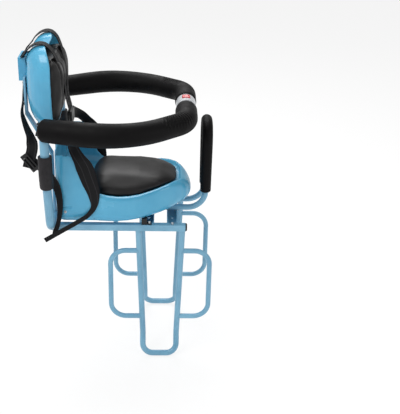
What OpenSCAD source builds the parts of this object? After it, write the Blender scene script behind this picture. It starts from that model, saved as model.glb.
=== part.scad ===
// Rear child seat for a bicycle carrier.
// Steel base frame with two hanging footrests, a hairpin grab handle in front and two flared
// rear posts. The posts carry a padded guard ring in two halves that swing outwards and lock
// together at the front. A moulded seat and a bowl-shaped backrest stand on the frame.
// +X points forwards, +Y to the left, +Z up. The origin is the middle of the four carrier
// bolt holes, in the plane of the rails' undersides.

/* [Base frame] */
// Side of the square rail tube
rail_side = 15; // [12:1:20]
// Distance between the two rails, centre to centre
rail_gauge = 206; // [190:1:225]
// Front end of the rails, in front of the bolt pattern's centre
rail_front = 58; // [52:1:70]
// Wall of the square rail tube
rail_wall = 1.5; // [1:0.1:2.5]
// Height of the end cap's head
cap_head = 4; // [2:0.5:8]
// Distance between the two cross bars, centre to centre
bolt_x = 55; // [50:1:60]
// Distance between the carrier bolts across the bicycle
bolt_y = 90; // [70:1:110]
// Diameter of the carrier bolt holes
bolt_d = 6.6; // [5.5:0.1:8.5]
// Width of a cross bar along the bicycle
bar_w = 25; // [20:1:30]
// Thickness of a cross bar's plate
bar_t = 3; // [2:0.5:4]

/* [Footrests] */
// Diameter of the footrest tube
foot_d = 14; // [12:0.5:16]
// Wall of the round frame tubes
tube_wall = 1.2; // [0.8:0.1:2]
// Distance between the footrest's legs at the rail
foot_top = 102; // [96:1:112]
// Distance between the footrest's legs where they kick outwards
foot_low = 81; // [76:1:90]
// Drop from the rail to the kick
foot_drop = 290; // [260:1:330]
// Outward kick of the foot bar
foot_kick = 25; // [10:1:35]
// Length of the kicked part down to the bar
foot_bar_drop = 44; // [38:1:60]
// Radius of the foot bar's corners
foot_bend = 24; // [18:1:28]
// Diameter of the side hoop tube
hoop_d = 12; // [9:0.5:13]
// Reach of the side hoops from the middle of the footrest
hoop_reach = 117; // [105:1:130]
// Top of the side hoops below the rail
hoop_top = 55; // [45:1:70]
// Bottom of the side hoops below the rail
hoop_bottom = 235; // [200:1:250]
// Radius of the hoops' corners
hoop_bend = 36; // [25:1:40]

/* [Front handle] */
// Diameter of the handle tube
handle_d = 14; // [12:0.5:16]
// Diameter of the handle's foam grip
grip_d = 26; // [22:1:32]
// Distance between the handle tubes under the seat
handle_gap = 48; // [40:1:60]
// Front reach of the handle
handle_x = 106; // [100:1:120]
// Height of the handle's top bar
handle_top = 231; // [215:1:260]
// Spread of each handle leg
handle_spread = 8; // [4:0.5:12]
// Radius of the bend under the seat
handle_bend = 42; // [34:1:50]
// Rear end of the handle tubes under the seat
handle_rear = -42; // [-80:1:-41]

/* [Rear posts and guard ring] */
// Diameter of the rear post tube
post_d = 20; // [18:0.5:24]
// Distance of the rear posts behind the bolt pattern's centre
post_x = 250; // [248:1:270]
// Distance from the middle to a guard arm's hinge
hinge_y = 157; // [150:1:168]
// Height of the post's open top
post_top = 204; // [190:1:215]
// Outward flare of the posts
post_flare = 13; // [8:0.5:16]
// Radius of the bend at the foot of a post
post_bend = 30; // [24:1:36]
// Diameter of the sleeve over a post's joint
sleeve_d = 31; // [28:0.5:36]
// Height at which the sleeve starts
sleeve_z = 126; // [115:1:140]
// Play of the hinge pin in the post
pin_play = 0.1; // [0.05:0.01:0.1]
// Diameter of the guard arm's steel tube
arm_d = 19; // [16:0.5:22]
// Diameter of the guard arm's padding
pad_d = 50; // [44:1:56]
// Height of the guard arm above the rails at its hinge
arm_z = 260; // [254:1:270]
// Rise of the guard ring towards the front
arm_rise = 1.3; // [0:0.1:2]
// Outward heading of a guard arm at its hinge
arm_out = 20; // [16:1:24]
// Straight stretch of a guard arm behind its wide bend
arm_rear_run = 84; // [76:1:92]
// Radius of the guard arm's wide bend
arm_wide_bend = 174; // [166:1:182]
// Inward heading of a guard arm in front of its wide bend
arm_in = 40; // [36:1:44]
// Straight stretch in front of the wide bend
arm_front_run = 45; // [40:1:52]
// Radius of the guard arm's front corner
arm_corner = 60; // [55:1:66]
// Length of the latch housing along the ring
latch_len = 44; // [40:1:52]
// Diameter of the latch housing
latch_d = 46; // [42:1:50]
// Travel of the release button
button_travel = 4; // [3:0.5:5]

/* [Seat and backrest] */
// Half width of the seat moulding
seat_half = 118; // [112:1:122]
// Rear face of the seat moulding behind the origin
seat_rear = 238; // [232:1:239]
// Nose of the seat moulding in front of the origin
seat_nose = 72; // [68:1:80]
// Wall of the mouldings
shell_wall = 3.5; // [2.5:0.5:5]
// Top of the seat's rear side wings
wing_top = 214; // [195:1:222]
// Half width of the backrest
back_half = 113; // [104:1:116]
// Front face of the backrest behind the origin
back_front = 236; // [230:1:242]
// Depth of the backrest bowl
back_depth = 64; // [54:1:72]
// Height of the backrest's middle
back_mid = 325; // [320:1:335]
// Height of the backrest above its middle
back_up = 104; // [98:1:112]
// Height of the backrest below its middle
back_down = 100; // [92:1:104]
// Dip of the backrest's top edge between its shoulders
back_dip = 14; // [6:1:20]
// Gap between a cushion and the moulding that holds it
fit = 0.5; // [0.3:0.1:1]
// Bulge of the back cushion in front of the backrest's edge
back_bulge = 26; // [18:1:32]
// Crown of the seat cushion above the seat's edge
seat_crown = 32; // [20:1:38]

/* [Harness] */
// Width of the webbing
web_w = 25; // [20:1:30]
// Thickness of the webbing
web_t = 1.8; // [1.2:0.1:2.5]

/* [Hidden] */

$fn = 48;
lap = 1;
nest = 0.1;
steel = "#7fb0cf";
sky = "#5fb4dc";
black = "#1c1c1f";
foam = "#232326";

rail_y = rail_gauge / 2;
// The handle tubes lie on the cross bars' flanges.
handle_z = rail_side + handle_d / 2;
post_r = post_d / 2;
// A post's foot: how far out the rear cross tube runs before it bends up.
post_ease = 60;
post_bend_top = post_r + post_bend * (1 - cos(90 - post_flare));
post_neck = 150;
// Straight start of a post beside the cross tube.
post_start = 2.5;
post_run = (post_neck - post_bend_top) / cos(post_flare);
cross_half = hinge_y - post_ease * (1 - cos(post_flare)) - post_run * sin(post_flare)
    - post_bend * sin(90 - post_flare) - post_start;
foot_lean = atan((foot_top - foot_low) / 2 / foot_drop);
foot_ease = 200;
foot_kick_bend = 20;
foot_leg = (foot_drop - foot_ease * sin(foot_lean) - 2 - foot_kick_bend * tan(foot_kick / 2))
    / cos(foot_lean);
foot_bar = foot_top / 2 - foot_leg * sin(foot_lean) - foot_ease * (1 - cos(foot_lean))
    - foot_bend;
foot_y = rail_y;
// The leaning ends of the legs stay just under the rail.
foot_seat = foot_d / 2 * sin(foot_lean) + 0.05;
shell_floor = rail_side;

// Plan of a guard arm, measured from its hinge: end of the wide bend and end of the corner.
ring_y1 = hinge_y + arm_rear_run * sin(arm_out) + arm_wide_bend * (cos(arm_in) - cos(arm_out));
ring_y2 = ring_y1 - arm_front_run * sin(arm_in) - arm_corner * cos(arm_in);
arm_x1 = arm_rear_run * cos(arm_out) + arm_wide_bend * (sin(arm_out) + sin(arm_in));
arm_x2 = arm_x1 + arm_front_run * cos(arm_in) + arm_corner * (1 - sin(arm_in));
arm_end_run = ring_y2 - latch_len / 2;
latch_x = arm_x2 * cos(arm_rise) - post_x;
latch_z = arm_z + arm_x2 * sin(arm_rise);

function eased(x, pts, h = 8) =
    (lookup(x - h, pts) + 2 * lookup(x, pts) + lookup(x + h, pts)) / 4;
function sgn_pow(v, e) = sign(v) * pow(abs(v), e);

// A closed skin over a list of rings that all have the same number of points.
module skin(rings) {
    n = len(rings[0]);
    m = len(rings);
    polyhedron(
        points = [for (r = rings, p = r) p],
        faces = concat(
            [[for (i = [0:n - 1]) i]],
            [for (k = [0:m - 2], i = [0:n - 1]) let (j = (i + 1) % n)
                each [[k * n + i, (k + 1) * n + i, (k + 1) * n + j],
                    [k * n + i, (k + 1) * n + j, k * n + j]]],
            [[for (i = [n - 1:-1:0]) (m - 1) * n + i]]),
        convexity = 8);
}

module mirrored(side) {
    if (side < 0) children();
    else mirror([0, 1, 0]) children();
}

// Round tube profile; an inner diameter of 0 makes a solid bar.
module ring(outer, inner) {
    difference() {
        circle(d = outer);
        if (inner > 0) circle(d = inner);
    }
}

// Bend that starts at the origin along +Z and turns towards +X. Its ends reach a little way
// into the straight tubes beside it, a hair thinner than they are, so that they fuse cleanly.
module bend(radius, angle, outer, inner) {
    more = asin(lap / radius);
    translate([radius, 0, 0]) rotate([90, 0, 0]) rotate([0, 0, 180 - angle - more])
        rotate_extrude(angle = angle + 2 * more, $fn = 72) translate([radius, 0])
            ring(outer - nest, inner > 0 ? inner + nest : 0);
}

// Bent tube along +Z. Each step is [straight length, bend radius, bend angle, roll].
module bent(path, outer, inner, i = 0) {
    if (i < len(path)) {
        s = path[i];
        rotate([0, 0, s[3]]) {
            if (s[0] > 0) linear_extrude(s[0]) ring(outer, inner);
            translate([0, 0, s[0]]) {
                if (s[2] > 0) bend(s[1], s[2], outer, inner);
                translate([s[1] * (1 - cos(s[2])), 0, s[1] * sin(s[2])]) rotate([0, s[2], 0])
                    bent(path, outer, inner, i + 1);
            }
        }
    }
}

// Flat webbing through stations of [point, width direction] or [point, width direction, width].
module web(route, width = web_w, thick = web_t) {
    n = len(route);
    skin([for (i = [0:n - 1])
        let (a = route[max(i - 1, 0)][0], b = route[min(i + 1, n - 1)][0],
            t = (b - a) / norm(b - a),
            raw = route[i][1], u0 = raw - t * (raw * t), u = u0 / norm(u0),
            v = cross(t, u) * thick / 2, p = route[i][0],
            w = u * (is_undef(route[i][2]) ? width : route[i][2]) / 2)
        [p - w - v, p + w - v, p + w + v, p - w + v]]);
}

// Base frame
module rail(side) {
    color(steel) mirrored(side) difference() {
        translate([-post_x, -rail_y - rail_side / 2, 0])
            cube([post_x + rail_front, rail_side, rail_side]);
        translate([-post_x - 1, -rail_y - rail_side / 2 + rail_wall, rail_wall])
            cube([post_x + rail_front + 2, rail_side - 2 * rail_wall, rail_side - 2 * rail_wall]);
        // The rail's rear end is cut to the round cross tube and to the post's foot.
        translate([-post_x, 0, post_r]) rotate([90, 0, 0])
            cylinder(d = post_d + 0.1, h = cross_half);
        post_path(post_d + 0.1, 0);
        translate([-post_x - post_d, -rail_y - rail_side, -1])
            cube([post_d, 2 * rail_side, rail_side + 2]);
    }
}
module rail_right() rail(-1);
module rail_left() rail(1);

module cap(side) {
    inner = rail_side - 2 * rail_wall - 0.2;
    color(black) mirrored(side) translate([rail_front, -rail_y, rail_side / 2]) {
        hull() {
            translate([0.05, -rail_side / 2, -rail_side / 2])
                cube([1, rail_side, rail_side]);
            translate([cap_head - 1, -rail_side / 2 + 1.5, -rail_side / 2 + 1.5])
                cube([1, rail_side - 3, rail_side - 3]);
        }
        translate([-10, -inner / 2, -inner / 2]) cube([11, inner, inner]);
    }
}
module cap_right() cap(-1);
module cap_left() cap(1);

// Channel between the rails: a plate on the carrier and two upward flanges.
module cross_bar(x) {
    half = rail_y - rail_side / 2 - 0.05;
    color(steel) translate([x, 0, 0]) difference() {
        union() {
            translate([-bar_w / 2, -half, 0]) cube([bar_w, 2 * half, bar_t]);
            for (s = [-1, 1]) translate([s * (bar_w - bar_t) / 2 - bar_t / 2, -half, 0])
                cube([bar_t, 2 * half, rail_side]);
        }
        for (s = [-1, 1]) translate([0, s * bolt_y / 2, -1])
            cylinder(d = bolt_d, h = bar_t + 2);
    }
}
module cross_bar_front() cross_bar(bolt_x / 2);
module cross_bar_rear() cross_bar(-bolt_x / 2);

// Footrests
module footrest(side) {
    bore = foot_d - 2 * tube_wall;
    run = foot_bar_drop - foot_bend - foot_kick_bend * tan(foot_kick / 2);
    kick = foot_kick_bend * tan(foot_kick / 2);
    color(steel) mirrored(side) translate([0, -foot_y, -foot_seat]) {
        for (m = [0, 1]) mirror([m, 0, 0]) translate([-foot_top / 2, 0, 0])
            rotate([0, 180 - foot_lean, 0])
                bent([[foot_leg, foot_ease, foot_lean, 0],
                    [2, foot_kick_bend, foot_kick, -90],
                    [run, foot_bend, 90, -90]], foot_d, bore);
        // Foot bar between the two corners.
        translate([0, -(run + kick) * sin(foot_kick) - foot_bend * sin(foot_kick),
            -foot_drop - (run + kick + foot_bend) * cos(foot_kick)])
            rotate([0, 90, 0]) translate([0, 0, -foot_bar])
                linear_extrude(2 * foot_bar) ring(foot_d, bore);
    }
}
module footrest_right() footrest(-1);
module footrest_left() footrest(1);

// Side hoop, welded to the outside of one footrest leg.
module hoop(side, end) {
    reach = hoop_reach - hoop_bend;
    high = hoop_bottom - hoop_top - 2 * hoop_bend;
    color(steel) mirrored(side) mirror([end > 0 ? 0 : 1, 0, 0]) difference() {
        translate([0, -foot_y, -hoop_top]) rotate([0, 90, 0])
            bent([[reach, hoop_bend, 90, 0], [high, hoop_bend, 90, 0], [reach, 0, 0, 0]],
                hoop_d, hoop_d - 2 * tube_wall);
        // Both ends are mitred to the round leg.
        translate([foot_top / 2 + 5 * tan(foot_lean), -foot_y, 5]) rotate([0, 180 + foot_lean, 0]) {
            cylinder(d = foot_d + 0.1, h = foot_leg);
            translate([0, -hoop_d, 0]) cube([foot_top, 2 * hoop_d, foot_leg]);
        }
    }
}
module hoop_front_right() hoop(-1, 1);
module hoop_rear_right() hoop(-1, -1);
module hoop_front_left() hoop(1, 1);
module hoop_rear_left() hoop(1, -1);

// Front handle
handle_corner = 34;
handle_ease = 40;
handle_leg = (handle_top - handle_z - handle_bend - 2 - handle_ease * sin(handle_spread)
    - handle_corner * (1 + sin(handle_spread))) / cos(handle_spread);
// Half of the straight top bar between the two corners.
handle_bar = handle_gap / 2 + handle_ease * (1 - cos(handle_spread))
    + handle_leg * sin(handle_spread) - handle_corner * cos(handle_spread);

// The hairpin above the bends under the seat: two spreading legs and the bar between them.
module handle_upper(outer, inner) {
    for (m = [0, 1]) mirror([0, m, 0])
        translate([handle_x, -handle_gap / 2, handle_z + handle_bend])
            bent([[2, handle_ease, handle_spread, -90],
                [handle_leg, handle_corner, 90 + handle_spread, 180]], outer, inner);
    translate([handle_x, handle_bar, handle_top]) rotate([90, 0, 0])
        linear_extrude(2 * handle_bar) ring(outer, inner);
}

module handle_tube() {
    bore = handle_d - 2 * tube_wall;
    color(steel) {
        for (m = [0, 1]) mirror([0, m, 0])
            translate([handle_rear, -handle_gap / 2, handle_z + 0.1]) rotate([0, 90, 0])
                bent([[handle_x - handle_bend - handle_rear, handle_bend, 90, 180]],
                    handle_d, bore);
        translate([0, 0, 0.1]) handle_upper(handle_d, bore);
    }
}

module handle_grip() {
    color(foam) translate([0, 0, 0.1]) handle_upper(grip_d, handle_d + 0.2);
}

// Rear posts
module post_path(outer, inner) {
    translate([-post_x, -cross_half, post_r]) rotate([90, 0, 0])
        bent([[post_start, post_bend, 90 - post_flare, 90],
            [post_run, post_ease, post_flare, 0],
            [post_top - post_neck - post_ease * sin(post_flare), 0, 0, 0]], outer, inner);
}

module back_cross() {
    color(steel) translate([-post_x, cross_half, post_r]) rotate([90, 0, 0])
        linear_extrude(2 * cross_half) ring(post_d, post_d - 3);
}

module post(side) {
    color(steel) mirrored(side) post_path(post_d, post_d - 3);
}
module post_right() post(-1);
module post_left() post(1);

// Rubber sleeve over the post's bend and its joint with the arm.
module sleeve(side) {
    skip = (sleeve_z - post_bend_top) / cos(post_flare);
    color(black) mirrored(side)
        translate([-post_x, -cross_half - post_start - post_bend * sin(90 - post_flare)
            - skip * sin(post_flare), sleeve_z])
            rotate([post_flare, 0, 0])
                bent([[post_run - skip, post_ease, post_flare, 90],
                    [post_top - 2.2 - post_neck - post_ease * sin(post_flare), 0, 0, 0]],
                    sleeve_d, post_d + 0.1);
}
module sleeve_right() sleeve(-1);
module sleeve_left() sleeve(1);

// Flat steel stay from the rear cross tube up the back of the backrest.
stay_y = 42;
stay_w = 20;
stay_t = 5;
stay_low = back_mid - 63;
stay_high = back_mid + 20;
stay_x = -back_front - back_depth * bowl(0.3) - stay_t - 0.3;
module stay(side) {
    x0 = -post_x;
    knee = back_mid - 160;
    color(steel) mirrored(side) translate([0, -stay_y + stay_w / 2, 0]) rotate([90, 0, 0])
        linear_extrude(stay_w) difference() {
            polygon([[x0 - stay_t / 2, post_d - 2], [x0 + stay_t / 2, post_d - 2],
                [x0 + stay_t / 2, knee], [stay_x + stay_t, stay_low], [stay_x + stay_t, stay_high],
                [stay_x, stay_high], [stay_x, stay_low - 2], [x0 - stay_t / 2, knee - 2]]);
            translate([x0, post_r]) circle(d = post_d + 0.1);
        }
}
module stay_right() stay(-1);
module stay_left() stay(1);

// Button-head bolts that hold the backrest to its stays.
module stay_bolts() {
    color("#9aa0a6") for (s = [-1, 1], z = [stay_low + 22, stay_high - 14])
        translate([stay_x - 0.05, s * stay_y, z]) rotate([0, -90, 0]) {
            cylinder(d = 11, h = 1.6);
            translate([0, 0, 1.6]) cylinder(d1 = 11, d2 = 7, h = 1.2);
        }
}

// Cap nuts on the rails, where the cross bars and the spacers are bolted down.
module rail_nuts() {
    color("#9aa0a6") for (s = [-1, 1], at = [[bolt_x / 2, 0.05], [spacer_bolt, spacer_foot + 0.15]])
        translate([at[0], s * rail_y, rail_side + at[1]]) {
            cylinder(d = 8, h = 3, $fn = 6);
            translate([0, 0, 2.9]) cylinder(d1 = 6, d2 = 3.6, h = 2);
        }
}

// Rubber spacer between a rail and the rising underside of the seat, with a bolted foot.
spacer_x = -bolt_x / 2 - 4;
spacer_bolt = -bolt_x / 2 + 2;
spacer_foot = 2.6;
module spacer(side) {
    x1 = spacer_x - 12;
    color(black) mirrored(side) translate([0, -rail_y + 5, 0]) rotate([90, 0, 0])
        linear_extrude(10)
            polygon([[x1, rail_side + 0.1], [spacer_bolt + 5, rail_side + 0.1],
                [spacer_bolt + 5, rail_side + spacer_foot], [spacer_x + 1.5, rail_side + spacer_foot],
                [spacer_x, side_under(spacer_x) - 0.2], [x1, side_under(x1) - 0.2]]);
}
module spacer_right() spacer(-1);
module spacer_left() spacer(1);

// Seat moulding
seat_wide_x = -90;
rim_points = concat(
    [for (p = [[0, -14], [8, -4], [20, 0], [38, 0], [50, -5], [58, -18]])
        [p[0] - seat_rear, wing_top + p[1]]],
    [for (p = [[66, 160], [76, 122], [88, 101], [108, 90], [148, 85], [193, 91], [238, 103],
        [268, 108]]) [p[0] - seat_rear, p[1]]]);

function seat_plan(x) = x > seat_wide_x
    ? seat_half * sqrt(max(0.0004, 1 - pow((x - seat_wide_x) / (seat_nose - seat_wide_x), 2)))
    : x < 22 - seat_rear ? seat_half - 22 + sqrt(max(0, 22 * 22 - pow(22 - x - seat_rear, 2)))
    : seat_half;
function seat_under(x) = x < -100 ? shell_floor
    : x < seat_nose - 22 ? shell_floor + 29 * pow((x + 100) / (seat_nose + 78), 1.4)
    : shell_floor + 51 - 22 * sqrt(max(0, 1 - pow((x - seat_nose + 22) / 22, 2)));
function seat_rim(x) = x > 30
    ? shell_floor + 51 + 42 * sqrt(max(0, 1 - pow((x - 30) / (seat_nose - 30), 2)))
    : eased(x, rim_points, lookup(x, rim_points) > 130 ? 3 : 6);
function seat_deck(x) = eased(x, [[-234, 84], [-180, 80], [-130, 75], [-90, 70], [-45, 76],
    [0, 88], [30, 94], [44, 92]]);

// How far a section is along the nose, and how square its lower corners are.
pan_round = 44;
function nose_share(x) = max(0, min(1, (x - 10) / (seat_nose - 12)));
function low_power(x) = 4.2 - 2 * nose_share(x);

// One cross-section of the seat: rounded below, nearly square above, an oval at the nose.
function seat_ring(x, w, z0, z1, count = 40) =
    let (top = 14 - 11.6 * pow(nose_share(x), 0.6), low = low_power(x),
        zc = z0 + min(pan_round, (z1 - z0) / 2))
    [for (i = [0:count - 1]) let (a = 360 * (i + 0.5) / count, up = sin(a) > 0,
        n = up ? top : low)
        [x, w * sgn_pow(cos(a), 2 / n), zc + (up ? z1 - zc : zc - z0) * sgn_pow(sin(a), 2 / n)]];

// Height of the seat's outer skin above the rail at the spacers.
function side_under(x) = let (w = seat_plan(x), z0 = seat_under(x), z1 = seat_rim(x),
    zc = z0 + min(pan_round, (z1 - z0) / 2), n = low_power(x))
    zc - (zc - z0) * pow(1 - pow(min(0.999, (rail_y - 5) / w), n), 1 / n);

seat_stations = concat([for (x = [0, 3, 8, 15, 22, 34]) x - seat_rear],
    [-194, -187, -181, -176, -171, -165, -158, -150, -138, -120, -100, -75, -50, -25, 0, 20, 36],
    [for (x = [24, 15, 8, 3, 0.6]) seat_nose - x]);

// The seat pan: its half width and its sections, which the cushion follows.
pan_stations = concat([shell_wall, 12], [for (x = seat_stations) if (x > 20 - seat_rear && x < 22)
    x + seat_rear], [for (x = [30, 36, 41, 46]) x + seat_rear]);
function pan_half(x) = min(seat_plan(x + (x > 0 ? 6 : 0)) - shell_wall - (x > -150 ? 3 : 0),
    seat_half - shell_wall) * (x > 44 ? 0.8 : 1);
// Half width of the pan at a height above its floor.
function pan_width(x, up) = let (k = max(0, 1 - up / pan_round))
    pan_half(x) * pow(1 - pow(min(k, 0.999), low_power(x)), 1 / low_power(x));
// The flats between the pan's sections cut its corners by up to this much.
pan_chord = 1.3;

module seat_shell() {
    t = shell_wall;
    color(sky) difference() {
        skin([for (x = seat_stations) seat_ring(x, seat_plan(x), seat_under(x), seat_rim(x))]);
        // Open seat space above the deck, between the wings.
        skin([for (k = pan_stations) let (x = k - seat_rear)
            seat_ring(x, pan_half(x), seat_deck(x), wing_top + 40, 32)]);
        // Hollow under the deck.
        skin([for (x = [t - seat_rear, 14 - seat_rear, -190, -150, -120, -90, -60, -30, 0, 25, 45])
            seat_ring(x, seat_plan(x + (x > 0 ? 5 : 0)) - t, seat_under(x) + t,
                seat_deck(x) - t, 32)]);
        // Open underside between the rails.
        translate([24 - seat_rear, -70, shell_floor - 5]) cube([150, 140, 40]);
        // A groove and a screw recess low on each wing.
        for (s = [-1, 1]) translate([14 - seat_rear, s * seat_half - 2, 62 - 1.5]) cube([23, 4, 3]);
        for (s = [-1, 1]) translate([20 - seat_rear, s * (seat_half - 1.6), 89]) rotate([-90 * s, 0, 0])
            cylinder(d = 9, h = 4);
        // Lightening slots either side of the middle rib, over the cross bars.
        for (s = [-1, 1]) translate([-60, s * 34 - 22, shell_floor - 5]) cube([52, 44, 60]);
    }
}

// Crowned pad that fills the pan from wing to nose.
module seat_cushion() {
    xs = [-165, -162, -158, -150, -138, -120, -100, -75, -50, -25, 0, 20, 30, 36, 39.5, 41];
    color(black) skin([for (x = xs)
        let (end = x < -120 ? sqrt(max(0.02, 1 - pow((x + 120) / 46.5, 2)))
                : x > 0 ? sqrt(max(0.02, 1 - pow(x / 42.5, 2))) : 1,
            w = (pan_half(x) - fit) * (x < -120 ? 0.3 + 0.7 * end : 1) - (x > 0 ? 4 * (1 - end) : 0),
            z0 = seat_deck(x) + fit, base = lookup(x, rim_points) > 95 && x < -100 ? 91
                : seat_rim(x),
            z1 = base + 6 + (seat_crown - 12) * end * (x > -60 ? 1 - (x + 60) / 140 : 1),
            mid = (z0 + base + 2) / 2)
        [for (i = [0:27]) let (a = 360 * (i + 0.5) / 28,
            z = sin(a) > 0 ? mid + (z1 - mid) * pow(sin(a), 2 / 2.6)
                : mid - (mid - z0) * pow(-sin(a), 2 / 5),
            y = w * pow(abs(cos(a)), 2 / 3))
            [x, sign(cos(a)) * min(y, pan_width(x, z - seat_deck(x)) - pan_chord - fit), z]]]);
}

// Backrest
// Outline of the backrest, scaled by s about its middle, with the dip in its top edge.
function back_ring(x, s, count = 44) =
    [for (i = [0:count - 1]) let (a = 360 * (i + 0.5) / count,
        v = sgn_pow(sin(a), 2 / 4), u = sgn_pow(cos(a), 2 / 4),
        y = back_half * u * (v < 0 ? 1 + 0.14 * v : 1),
        dip = v > 0 && abs(y) < 70 ? back_dip * pow(cos(90 * y / 70), 2) * v : 0)
        [x, y * s, back_mid + ((v > 0 ? back_up : back_down) * v - dip) * s]];
function bowl(s) = sqrt(max(0, 1 - pow(s, 3)));

module backrest_shell() {
    t = shell_wall;
    steps = [0.04, 0.3, 0.5, 0.66, 0.78, 0.87, 0.93, 0.97, 1];
    k = 1 - t / 104;
    color(sky) difference() {
        skin(concat(
            [for (s = steps) back_ring(-back_front - back_depth * bowl(s), s)],
            [for (i = [len(steps) - 1:-1:0]) let (s = steps[i])
                back_ring(-back_front - (back_depth - t) * bowl(s), s * k)]));
        // Two strap slots through the top of the shell.
        for (y = [-58, 58]) translate([-back_front - 40, y - 15, back_mid + back_up - 34])
            rotate([0, -30, 0]) cube([60, 30, 5], center = false);
    }
}

module back_cushion() {
    t = shell_wall + fit;
    k = 1 - (t + 2) / 104;
    steps = [0.05, 0.35, 0.6, 0.78, 0.9, 0.97, 1];
    color(black) skin(concat(
        [for (s = steps) back_ring(-back_front - (back_depth - t - 1) * bowl(s) - 1, s * k * 0.985,
            36)],
        [for (i = [len(steps) - 1:-1:0]) let (s = steps[i])
            back_ring(-back_front + back_bulge * bowl(s) + 1, s * k * 0.985, 36)]));
}

// Moulded housing that guides the shoulder webbing behind the backrest.
module strap_box() {
    x1 = -back_front - back_depth + 1;
    color(sky) difference() {
        translate([x1 - 18, -30, back_mid + 6]) cube([17, 60, 52]);
        translate([x1 - 14, -26, back_mid + 2]) cube([9, 52, 60]);
        skin([for (s = [0.04, 0.3, 0.5, 0.66, 0.78])
            back_ring(-back_front - (back_depth + 0.2) * bowl(s), s * 1.002)]);
    }
}

// Guard ring
module arm_run(side, outer, inner, end_run) {
    mirrored(side) translate([-post_x, -hinge_y, arm_z]) rotate([0, -arm_rise, 0])
        rotate([0, 0, -arm_out]) rotate([0, 90, 0])
            bent([[arm_rear_run, arm_wide_bend, arm_out + arm_in, 90],
                [arm_front_run, arm_corner, 90 - arm_in, 0],
                [end_run, 0, 0, 0]], outer, inner);
}

socket = 8;
module arm_tube(side) {
    pin_d = post_d - 3 - 2 * pin_play;
    color(steel) {
        // The left-hand tube is held in the latch housing, the right-hand one carries the blade.
        arm_run(side, arm_d, arm_d - 3, side > 0 ? arm_end_run + socket : arm_end_run - 1.5);
        // Upright pivot: a collar that stands on the post and a pin inside it.
        mirrored(side) translate([-post_x, -hinge_y, 0]) {
            translate([0, 0, post_top + 0.3]) cylinder(d = post_d, h = arm_z - post_top - 0.3);
            translate([0, 0, post_top - 26]) cylinder(d = pin_d, h = 27);
            translate([0, 0, arm_z]) sphere(d = post_d + 1);
        }
    }
}
module arm_tube_right() arm_tube(-1);
module arm_tube_left() arm_tube(1);

module arm_pad(side) {
    color(foam) difference() {
        union() {
            arm_run(side, pad_d, arm_d + 0.2, arm_end_run - 2);
            // Rounded rear end of the padding.
            mirrored(side) translate([-post_x, -hinge_y, arm_z]) rotate([0, -arm_rise, 0])
                rotate([0, 0, -arm_out]) rotate([0, -90, 0]) translate([0, 0, -0.5])
                    cylinder(d1 = pad_d - nest, d2 = pad_d - 14, h = 8.5);
        }
        mirrored(side) translate([-post_x, -hinge_y, 0]) {
            cylinder(d = post_d + 0.2, h = arm_z);
            translate([0, 0, arm_z]) sphere(d = post_d + 1.2);
        }
    }
}
module arm_pad_right() arm_pad(-1);
module arm_pad_left() arm_pad(1);

// Blade of the right-hand arm: 14 wide, with the hole that the button's catch drops into.
tongue_w = 14;
tongue_t = 4;
tongue_len = 15;
button_l = 18;
latch_play = 11;
module latch_tongue() {
    y1 = -latch_len / 2;
    color("#3a3d42") translate([latch_x, 0, latch_z]) difference() {
        union() {
            translate([0, y1 - 1.4, 0]) rotate([-90, 0, 0]) cylinder(d = arm_d + 16, h = 1);
            translate([-tongue_w / 2, y1 - 1, -tongue_t / 2]) cube([tongue_w, tongue_len, tongue_t]);
        }
        translate([0, y1 + 9, -5]) cylinder(d = 5, h = 10);
    }
}

module latch_housing() {
    y1 = -latch_len / 2;
    color("#b9bdc2") translate([latch_x, 0, latch_z]) difference() {
        rotate([90, 0, 0]) translate([0, 0, -latch_len / 2]) cylinder(d = latch_d, h = latch_len);
        // The left-hand arm's tube is held in the far end.
        translate([0, latch_len / 2 - socket - 0.1, 0]) rotate([-90, 0, 0]) cylinder(d = arm_d + 0.1, h = 9);
        // Slot for the blade, wide because either half of the ring leaves on an arc.
        translate([-tongue_w / 2 - latch_play, y1 - 1, -tongue_t / 2 - 0.6])
            cube([tongue_w + 2 * latch_play, tongue_len + 2, tongue_t + 1.2]);
        // Well for the release button.
        translate([-button_l / 2 - 0.4, -button_l / 2 - 0.4 + 4, 8])
            cube([button_l + 0.8, button_l + 0.8, latch_d]);
    }
}

module latch_button() {
    foot = 8 + button_travel + 0.4;
    color("red") translate([latch_x - button_l / 2, 4 - button_l / 2, latch_z + foot])
        cube([button_l, button_l, latch_d / 2 + 1.5 - foot]);
}

// Harness
X = [1, 0, 0];
Y = [0, 1, 0];
Z = [0, 0, 1];
// Play between a strap and what it lies on.
web_lay = web_t / 2 + 0.3;
strap_x = -back_front + back_bulge + 1 + web_lay;
box_x = -back_front - back_depth - 8.5;
buckle_top = 258;
buckle_h = 32;
// Outer face of the seat's wings, and the height of the seat deck at the crotch strap.
wing_y = seat_half + web_lay;
crotch_x = -176;
// Where the loose ends hang behind the backrest.
tail_y = -98.3;

// From the buckle up over the backrest, through the strap box and down behind the backrest.
module shoulder_strap(side) {
    over = back_mid + back_up + web_lay;
    color(black) mirrored(side) web([
        [[strap_x - 0.4, -14, buckle_top + 0.4], Y], [[strap_x + 0.2, -15, 290], Y],
        [[strap_x, -26, back_mid], Y], [[strap_x - 0.4, -40, 362], Y], [[strap_x - 4.4, -52, 396], Y],
        [[-225, -57, over - 10], Y], [[-235, -58, over - 1.5], Y], [[-247, -58, over], Y],
        [[-262, -58, over - 2], Y], [[-280, -54, over - 9], Y], [[-293, -42, over - 18], Y],
        [[-303, -24, over - 27], Y], [[box_x, -13, over - 40], Y], [[box_x, -13, 325], Y],
        [[box_x, -36, 292], Y], [[box_x, -60, 266], Y], [[-299, -80, 243], [0.2, 1, 0]],
        [[-288, -93, 220], [0.6, 0.8, 0]], [[-285, tail_y, 202], X], [[-291, tail_y, 174], X],
        [[-297, tail_y, 150], X]]);
}
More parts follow.
